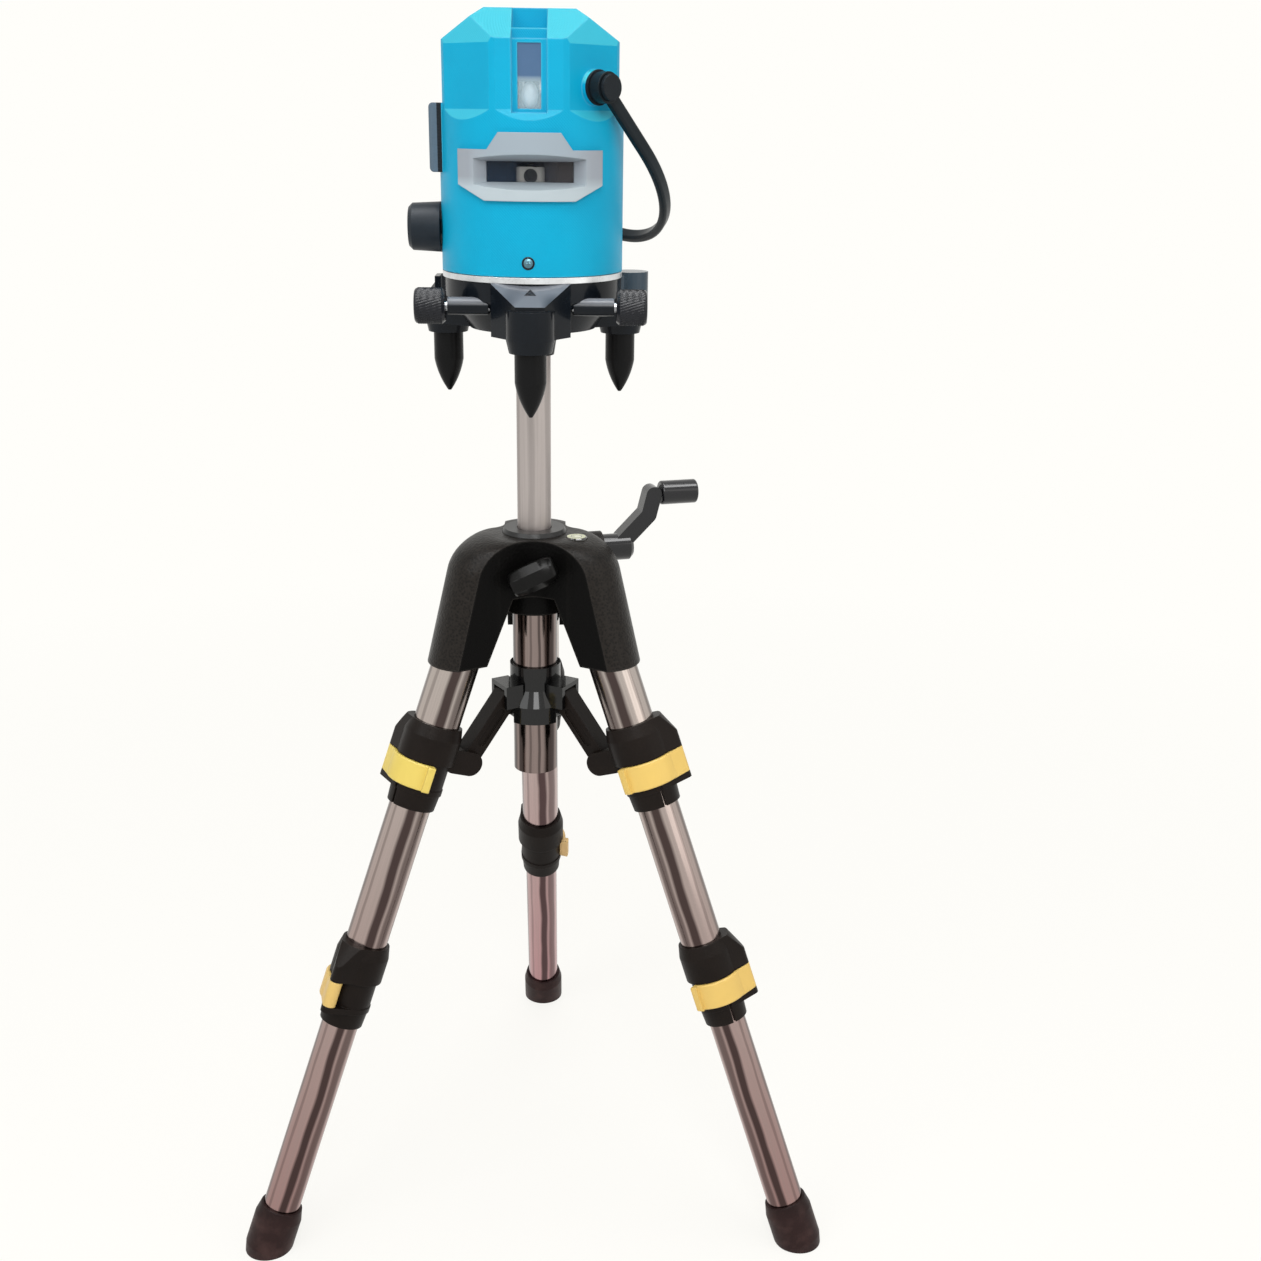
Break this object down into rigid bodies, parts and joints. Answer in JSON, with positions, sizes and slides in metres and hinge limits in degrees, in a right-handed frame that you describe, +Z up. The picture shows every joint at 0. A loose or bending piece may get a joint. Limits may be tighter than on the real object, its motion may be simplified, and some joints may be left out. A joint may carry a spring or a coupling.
{
  "type": "laser level tripod",
  "caption": "Elevating mini tripod with telescopic clamp-lock legs, a sliding leg spreader and a geared centre column, carrying a self-levelling line laser level.",
  "frame": {"origin": "on the floor, under the axis of the centre column", "axes": "+Z up along the column, -Y the way the level's front window looks, +X the crank's side"},
  "size_m": [0.342, 0.3, 0.6885],
  "materials": {
    "black_plastic": "fine pebble grain",
    "leg_tube": "polished",
    "column_tube": "brushed",
    "steel": "satin",
    "yellow_plastic": "satin",
    "rubber": "matte",
    "base_black": "glossy",
    "ring_silver": "satin",
    "brass": "machined",
    "blue_housing": "fine grain",
    "grey_bezel": "satin",
    "glass": "clear",
    "vial": "clear",
    "pendulum_metal": "machined"
  },
  "bodies": {
    "frame": {"shoulder": "black_plastic", "column_bush": "black_plastic", "leg_pivot_pins": "steel", "guide_tube": "leg_tube", "shoulder_vial": "vial"},
    "column": {"centre_column": "column_tube", "column_rack": "steel", "column_end_stop": "black_plastic", "column_head": "black_plastic", "head_stud": "steel"},
    "crank": {"crank_shaft": "steel", "crank_arm": "black_plastic"},
    "crank_grip": {"crank_grip": "black_plastic"},
    "column_lock": {"column_lock_knob": "black_plastic"},
    "hub": {"spreader_hub": "black_plastic"},
    "level_base": {"level_base": "base_black", "degree_ring": "ring_silver"},
    "fine_drive": {"tangent_screw": "steel", "tangent_knobs": "base_black"},
    "worm_wheel": {"worm_wheel": "brass"},
    "level_head": {"housing": "blue_housing", "window_bezel": "grey_bezel", "window_glass": "glass"},
    "power_knob": {"power_knob": "black_plastic"},
    "carry_handle": {"carry_handle": "black_plastic"},
    "gimbal_ring": {"gimbal_ring": "steel"},
    "pendulum": {"pendulum": "pendulum_metal"},
    "leg_back": {"leg_joint_back": "black_plastic", "upper_tube_back": "leg_tube", "upper_lock_back": "black_plastic"},
    "middle_back": {"middle_tube_back": "leg_tube", "lower_lock_back": "black_plastic"},
    "lower_back": {"lower_tube_back": "leg_tube", "rubber_foot_back": "rubber"},
    "upper_lever_back": {"upper_lever_back": "yellow_plastic"},
    "lower_lever_back": {"lower_lever_back": "yellow_plastic"},
    "arm_back": {"brace_arm_back": "black_plastic"},
    "leg_left": {"leg_joint_left": "black_plastic", "upper_tube_left": "leg_tube", "upper_lock_left": "black_plastic"},
    "middle_left": {"middle_tube_left": "leg_tube", "lower_lock_left": "black_plastic"},
    "lower_left": {"lower_tube_left": "leg_tube", "rubber_foot_left": "rubber"},
    "upper_lever_left": {"upper_lever_left": "yellow_plastic"},
    "lower_lever_left": {"lower_lever_left": "yellow_plastic"},
    "arm_left": {"brace_arm_left": "black_plastic"},
    "leg_right": {"leg_joint_right": "black_plastic", "upper_tube_right": "leg_tube", "upper_lock_right": "black_plastic"},
    "middle_right": {"middle_tube_right": "leg_tube", "lower_lock_right": "black_plastic"},
    "lower_right": {"lower_tube_right": "leg_tube", "rubber_foot_right": "rubber"},
    "upper_lever_right": {"upper_lever_right": "yellow_plastic"},
    "lower_lever_right": {"lower_lever_right": "yellow_plastic"},
    "arm_right": {"brace_arm_right": "black_plastic"},
    "foot_screw_front": {"levelling_foot_front": "base_black"},
    "foot_screw_left": {"levelling_foot_left": "base_black"},
    "foot_screw_right": {"levelling_foot_right": "base_black"}
  },
  "joints": [
    {"name": "column_lift", "type": "slide", "parent": "frame", "child": "column", "axis": [0, 0, 1], "range_m": [-0.08, 0]},
    {"name": "crank_turn", "type": "hinge", "parent": "frame", "child": "crank", "pos_m": [-0.00335, 0.01251, 0.39816], "axis": [0.9659, 0.2588, 0], "range_deg": [0, 1092]},
    {"name": "crank_grip_spin", "type": "hinge", "parent": "crank", "child": "crank_grip", "pos_m": [0.08358, 0.0358, 0.42916], "axis": [0.9659, 0.2588, 0], "continuous": true},
    {"name": "column_lock_turn", "type": "hinge", "parent": "frame", "child": "column_lock", "pos_m": [0, -0.03, 0.39746], "axis": [0, -1, 0], "range_deg": [0, 180]},
    {"name": "leg_right_fold", "type": "hinge", "parent": "frame", "child": "leg_right", "pos_m": [0.02858, -0.0165, 0.39096], "axis": [0.5, 0.866, 0], "range_deg": [0, 13]},
    {"name": "leg_left_fold", "type": "hinge", "parent": "frame", "child": "leg_left", "pos_m": [-0.02858, -0.0165, 0.39096], "axis": [0.5, -0.866, 0], "range_deg": [0, 13]},
    {"name": "leg_back_fold", "type": "hinge", "parent": "frame", "child": "leg_back", "pos_m": [0, 0.033, 0.39096], "axis": [-1, 0, 0], "range_deg": [0, 13]},
    {"name": "spreader_slide", "type": "slide", "parent": "frame", "child": "hub", "axis": [0, 0, 1], "range_m": [0, 0.00913]},
    {"name": "arm_right_fold", "type": "hinge", "parent": "hub", "child": "arm_right", "pos_m": [0.01689, -0.00975, 0.31856], "axis": [0.5, 0.866, 0], "range_deg": [0, 34.84]},
    {"name": "arm_left_fold", "type": "hinge", "parent": "hub", "child": "arm_left", "pos_m": [-0.01689, -0.00975, 0.31856], "axis": [0.5, -0.866, 0], "range_deg": [0, 34.84]},
    {"name": "arm_back_fold", "type": "hinge", "parent": "hub", "child": "arm_back", "pos_m": [0, 0.0195, 0.31856], "axis": [-1, 0, 0], "range_deg": [0, 34.84]},
    {"name": "middle_right_slide", "type": "slide", "parent": "leg_right", "child": "middle_right", "axis": [-0.3089, 0.1784, 0.9342], "range_m": [0, 0.085]},
    {"name": "lower_right_slide", "type": "slide", "parent": "middle_right", "child": "lower_right", "axis": [-0.3089, 0.1784, 0.9342], "range_m": [0, 0.119]},
    {"name": "upper_lever_right_flip", "type": "hinge", "parent": "leg_right", "child": "upper_lever_right", "pos_m": [0.08321, -0.0365, 0.28943], "axis": [-0.3089, 0.1784, 0.9342], "range_deg": [0, 110]},
    {"name": "lower_lever_right_flip", "type": "hinge", "parent": "middle_right", "child": "lower_lever_right", "pos_m": [0.12384, -0.0607, 0.16244], "axis": [-0.3089, 0.1784, 0.9342], "range_deg": [0, 110]},
    {"name": "middle_left_slide", "type": "slide", "parent": "leg_left", "child": "middle_left", "axis": [0.3089, 0.1784, 0.9342], "range_m": [0, 0.085]},
    {"name": "lower_left_slide", "type": "slide", "parent": "middle_left", "child": "lower_left", "axis": [0.3089, 0.1784, 0.9342], "range_m": [0, 0.119]},
    {"name": "upper_lever_left_flip", "type": "hinge", "parent": "leg_left", "child": "upper_lever_left", "pos_m": [-0.08167, -0.02824, 0.28734], "axis": [-0.3089, -0.1784, -0.9342], "range_deg": [0, 110]},
    {"name": "lower_lever_left_flip", "type": "hinge", "parent": "middle_left", "child": "lower_lever_left", "pos_m": [-0.11449, -0.0769, 0.16244], "axis": [0.3089, 0.1784, 0.9342], "range_deg": [0, 110]},
    {"name": "middle_back_slide", "type": "slide", "parent": "leg_back", "child": "middle_back", "axis": [0, -0.3567, 0.9342], "range_m": [0, 0.085]},
    {"name": "lower_back_slide", "type": "slide", "parent": "middle_back", "child": "lower_back", "axis": [0, -0.3567, 0.9342], "range_m": [0, 0.119]},
    {"name": "upper_lever_back_flip", "type": "hinge", "parent": "leg_back", "child": "upper_lever_back", "pos_m": [-0.01, 0.09031, 0.28943], "axis": [0, -0.3567, 0.9342], "range_deg": [0, 110]},
    {"name": "lower_lever_back_flip", "type": "hinge", "parent": "middle_back", "child": "lower_lever_back", "pos_m": [-0.00935, 0.1376, 0.16244], "axis": [0, -0.3567, 0.9342], "range_deg": [0, 110]},
    {"name": "level_lift", "type": "slide", "parent": "column", "child": "level_base", "axis": [0, 0, 1], "range_m": [0, 0.06]},
    {"name": "fine_turn", "type": "hinge", "parent": "level_base", "child": "fine_drive", "pos_m": [0, -0.036, 0.54396], "axis": [1, 0, 0], "continuous": true},
    {"name": "worm_wheel_turn", "type": "hinge", "parent": "level_base", "child": "worm_wheel", "pos_m": [0, 0, 0.54396], "axis": [0, 0, 1], "continuous": true},
    {"name": "level_swivel", "type": "hinge", "parent": "worm_wheel", "child": "level_head", "pos_m": [0, 0, 0.58946], "axis": [0, 0, 1], "continuous": true},
    {"name": "power_turn", "type": "hinge", "parent": "level_head", "child": "power_knob", "pos_m": [-0.056, 0, 0.58116], "axis": [-1, 0, 0], "range_deg": [0, 90]},
    {"name": "handle_swing", "type": "hinge", "parent": "level_head", "child": "carry_handle", "pos_m": [0, 0, 0.65146], "axis": [0.7071, -0.7071, 0], "range_deg": [0, 135]},
    {"name": "gimbal_pitch", "type": "hinge", "parent": "level_head", "child": "gimbal_ring", "pos_m": [0, 0, 0.66646], "axis": [1, 0, 0], "range_deg": [-3, 3]},
    {"name": "pendulum_roll", "type": "hinge", "parent": "gimbal_ring", "child": "pendulum", "pos_m": [0, 0, 0.66646], "axis": [0, 1, 0], "range_deg": [-3, 3]},
    {"name": "foot_screw_front_turn", "type": "slide", "parent": "level_base", "child": "foot_screw_front", "axis": [0, 0, -1], "range_m": [0, 0.004]},
    {"name": "foot_screw_left_turn", "type": "slide", "parent": "level_base", "child": "foot_screw_left", "axis": [0, 0, -1], "range_m": [0, 0.004]},
    {"name": "foot_screw_right_turn", "type": "slide", "parent": "level_base", "child": "foot_screw_right", "axis": [0, 0, -1], "range_m": [0, 0.004]}
  ],
  "couplings": [
    {"joint": "crank_turn", "follows": "column_lift", "rad_per_m": -238.1},
    {"joint": "leg_left_fold", "follows": "leg_right_fold", "ratio": 1},
    {"joint": "leg_back_fold", "follows": "leg_right_fold", "ratio": 1},
    {"joint": "spreader_slide", "follows": "leg_right_fold", "m_per_rad": 0.039373},
    {"joint": "arm_right_fold", "follows": "leg_right_fold", "ratio": 2.6647},
    {"joint": "arm_left_fold", "follows": "leg_right_fold", "ratio": 2.6647},
    {"joint": "arm_back_fold", "follows": "leg_right_fold", "ratio": 2.6647},
    {"joint": "worm_wheel_turn", "follows": "fine_turn", "ratio": 0.016667}
  ]
}
